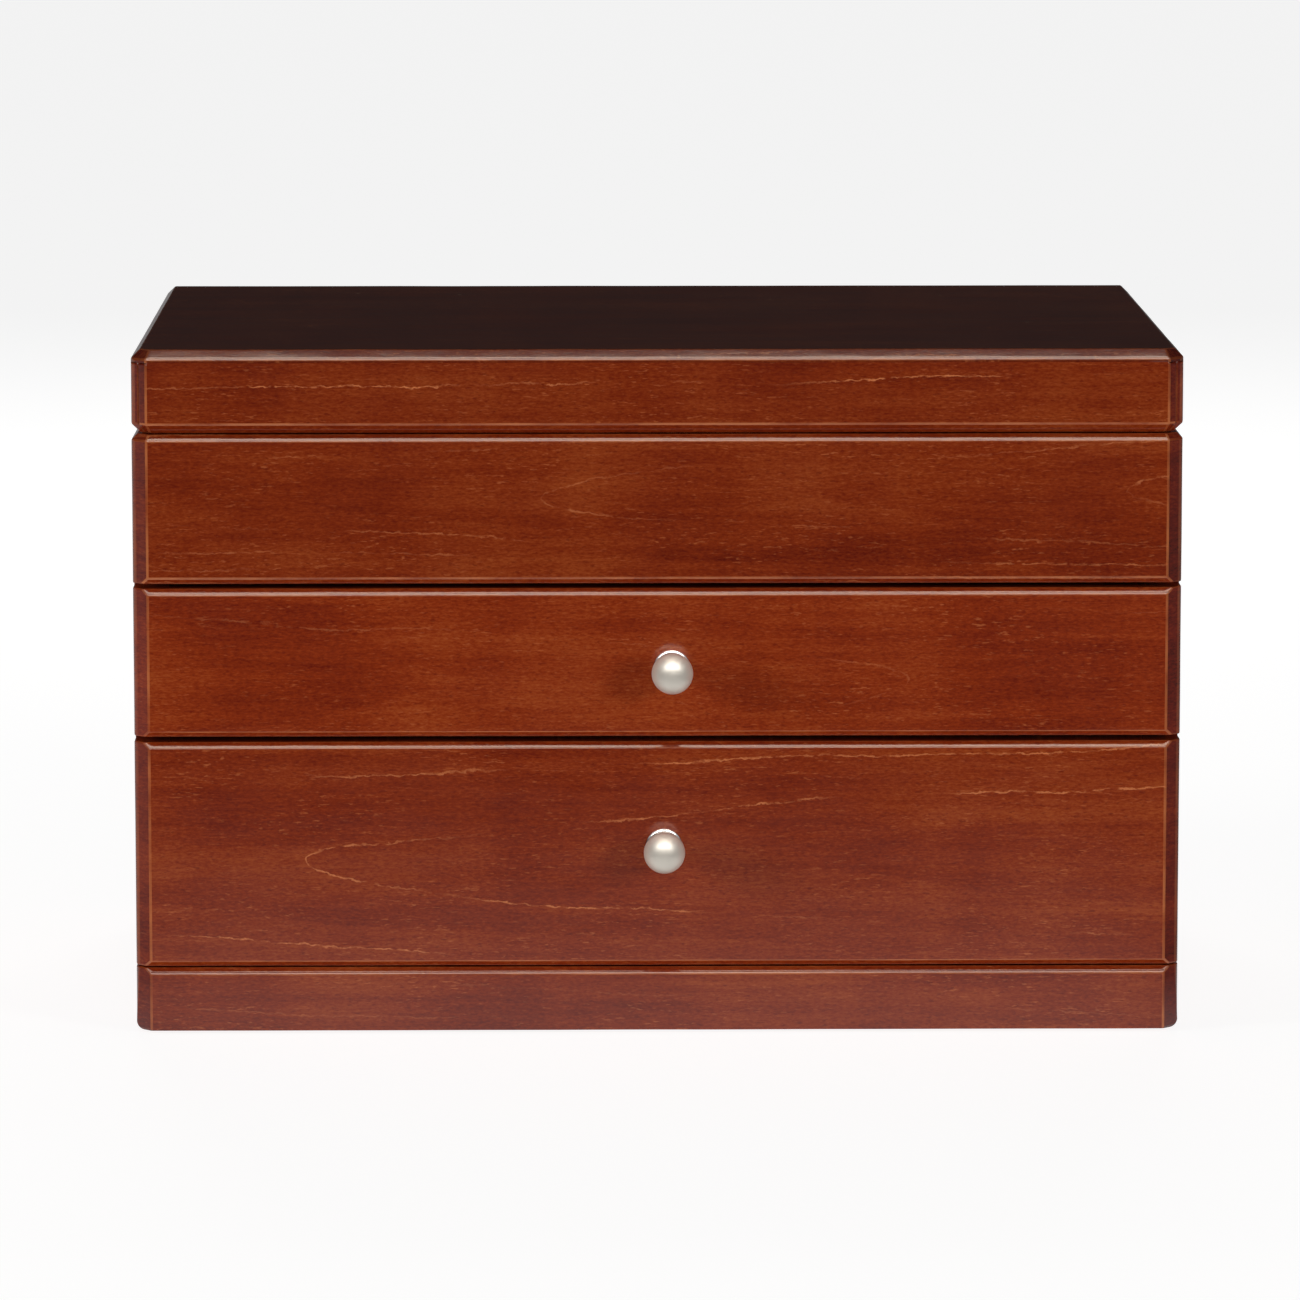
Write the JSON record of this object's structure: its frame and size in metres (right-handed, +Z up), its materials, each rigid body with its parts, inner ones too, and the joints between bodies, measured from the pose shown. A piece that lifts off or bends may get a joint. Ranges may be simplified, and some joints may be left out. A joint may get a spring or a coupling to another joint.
{
  "type": "jewellery chest",
  "caption": "Wooden jewellery chest with a hinged lid over a lined tray, and drawers with ball knobs below it.",
  "frame": {"origin": "centre of the chest's footprint, knobs and hinges counted, at the underside of the felt feet", "axes": "+X to the chest's right as seen from the front, +Y from the front to the back, +Z up"},
  "size_m": [0.3, 0.2282, 0.1974],
  "materials": {
    "lacquered_wood": "gloss lacquer",
    "inner_wood": "satin stain",
    "bare_wood": "bare",
    "velvet": "velvet",
    "roll_velvet": "velvet",
    "felt": "felt",
    "mirror_glass": "silvered",
    "satin_nickel": "satin",
    "bright_nickel": "polished",
    "steel": "zinc plated",
    "hinge_brass": "polished"
  },
  "bodies": {
    "case": {"left_side": "lacquered_wood", "right_side": "lacquered_wood", "back_panel": "lacquered_wood", "base_panel": "inner_wood", "drawer_shelf": "inner_wood", "tray_floor": "inner_wood", "upper_front": "lacquered_wood", "plinth_front": "lacquered_wood", "corner_blocks": "bare_wood", "felt_feet": "felt", "drawer_bumpers": "felt", "upper_drawer_runners": "bare_wood", "lower_drawer_runners": "bare_wood", "tray_lining": "velvet", "tray_partitions": "velvet", "ring_rolls": "roll_velvet", "left_hinge_case_leaf": "hinge_brass", "right_hinge_case_leaf": "hinge_brass", "hinge_pins": "hinge_brass", "hinge_case_screws": "hinge_brass"},
    "lid": {"lid_top_panel": "lacquered_wood", "lid_front_rail": "lacquered_wood", "lid_back_rail": "lacquered_wood", "lid_left_rail": "lacquered_wood", "lid_right_rail": "lacquered_wood", "lid_lining_board": "velvet", "mirror": "mirror_glass", "mirror_surround": "velvet", "left_hinge_lid_leaf": "hinge_brass", "right_hinge_lid_leaf": "hinge_brass", "hinge_lid_screws": "hinge_brass"},
    "upper_drawer": {"upper_drawer_face": "lacquered_wood", "upper_drawer_box_front": "inner_wood", "upper_drawer_left_wall": "inner_wood", "upper_drawer_right_wall": "inner_wood", "upper_drawer_back": "inner_wood", "upper_drawer_bottom": "inner_wood", "upper_drawer_lining": "velvet", "upper_drawer_partitions": "velvet", "upper_knob": "satin_nickel", "upper_knob_collar": "bright_nickel", "upper_knob_screw": "steel"},
    "lower_drawer": {"lower_drawer_face": "lacquered_wood", "lower_drawer_box_front": "inner_wood", "lower_drawer_left_wall": "inner_wood", "lower_drawer_right_wall": "inner_wood", "lower_drawer_back": "inner_wood", "lower_drawer_bottom": "inner_wood", "lower_drawer_lining": "velvet", "lower_drawer_partitions": "velvet", "lower_knob": "satin_nickel", "lower_knob_collar": "bright_nickel", "lower_knob_screw": "steel"}
  },
  "joints": [
    {"name": "lid_hinge", "type": "hinge", "parent": "case", "child": "lid", "pos_m": [0, 0.11065, 0.17335], "axis": [-1, 0, 0], "range_deg": [0, 100]},
    {"name": "upper_drawer_slide", "type": "slide", "parent": "case", "child": "upper_drawer", "axis": [0, -1, 0], "range_m": [0, 0.14]},
    {"name": "lower_drawer_slide", "type": "slide", "parent": "case", "child": "lower_drawer", "axis": [0, -1, 0], "range_m": [0, 0.14]}
  ]
}
